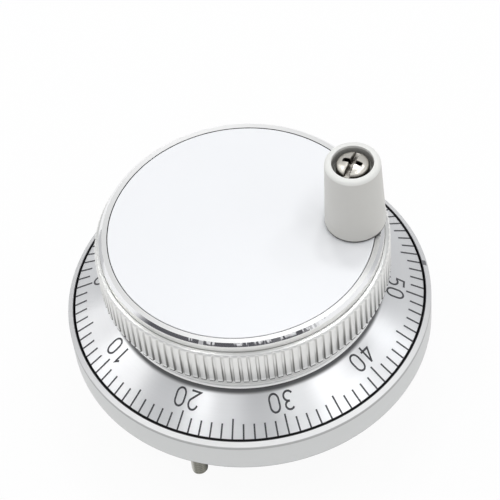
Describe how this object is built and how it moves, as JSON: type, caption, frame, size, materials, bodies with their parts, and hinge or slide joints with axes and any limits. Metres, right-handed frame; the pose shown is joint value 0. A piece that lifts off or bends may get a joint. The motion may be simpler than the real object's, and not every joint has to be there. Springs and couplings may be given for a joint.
{
  "type": "manual pulse generator handwheel",
  "caption": "Panel-mounted pulse generator handwheel: knurled knob with blank plate and revolving grip, divided conical dial, rimmed flange, studs, and a rear case with screw terminals.",
  "frame": {"origin": "centre of the flange's panel face, on the wheel's axis", "axes": "+Z out of the panel along the wheel's axis, +Y towards the index mark, +X towards 3 o'clock seen from the front"},
  "size_m": [0.08, 0.08, 0.07],
  "materials": {
    "flange_aluminium": "satin clear-anodised",
    "mark_paint": "filled enamel",
    "stud_steel": "zinc plated",
    "case_plastic": "moulded, fine grain",
    "screw_steel": "nickel plated",
    "terminal_plastic": "moulded",
    "terminal_brass": "tinned edge",
    "washer_steel": "nickel plated",
    "board_laminate": "solder mask",
    "chip_plastic": "moulded",
    "passive_ceramic": "fired",
    "sensor_plastic": "polished window",
    "emitter_lens": "clear lens",
    "magnet_ferrite": "sintered",
    "yoke_steel": "ground",
    "bearing_steel": "ground and polished",
    "cage_brass": "turned",
    "dial_aluminium": "spun, circular brushed",
    "knob_aluminium": "knurled, diamond-cut bevel",
    "plate_white": "satin white",
    "shaft_steel": "turned",
    "disc_steel": "etched",
    "handle_nickel": "nickel plated",
    "grip_plastic": "satin moulded"
  },
  "bodies": {
    "housing": {"flange_housing": "flange_aluminium", "index_mark": "mark_paint", "mounting_studs": "stud_steel", "rear_case": "case_plastic", "case_screws": "screw_steel", "terminal_block": "terminal_plastic", "block_screws": "screw_steel", "terminal_plates": "terminal_brass", "terminal_washers": "washer_steel", "terminal_screws": "screw_steel", "circuit_board": "board_laminate", "board_screws": "screw_steel", "board_chips": "chip_plastic", "board_passives": "passive_ceramic", "light_sensor": "sensor_plastic", "light_emitter": "emitter_lens", "emitter_holder": "chip_plastic", "detent_magnets": "magnet_ferrite", "detent_yokes": "yoke_steel", "bearing_outer_rings": "bearing_steel", "bearing_balls": "bearing_steel", "bearing_cages": "cage_brass", "bearing_shields": "yoke_steel"},
    "handwheel": {"dial_ring": "dial_aluminium", "dial_ticks": "mark_paint", "dial_numerals": "mark_paint", "knob_shell": "knob_aluminium", "top_plate": "plate_white", "shaft": "shaft_steel", "hub_screws": "screw_steel", "bearing_inner_rings": "bearing_steel", "bearing_spacer": "shaft_steel", "retaining_ring": "yoke_steel", "detent_wheel": "yoke_steel", "disc_hub": "cage_brass", "hub_set_screw": "yoke_steel", "code_disc": "disc_steel", "disc_retainer": "yoke_steel", "handle_spindle": "cage_brass", "handle_screw": "handle_nickel", "handle_washer": "washer_steel"},
    "grip": {"handle_grip": "grip_plastic"}
  },
  "joints": [
    {"name": "wheel_turn", "type": "hinge", "parent": "housing", "child": "handwheel", "pos_m": [0, 0, 0], "axis": [0, 0, 1], "continuous": true},
    {"name": "grip_spin", "type": "hinge", "parent": "handwheel", "child": "grip", "pos_m": [0.00275, 0.02414, 0], "axis": [0, 0, 1], "continuous": true}
  ]
}
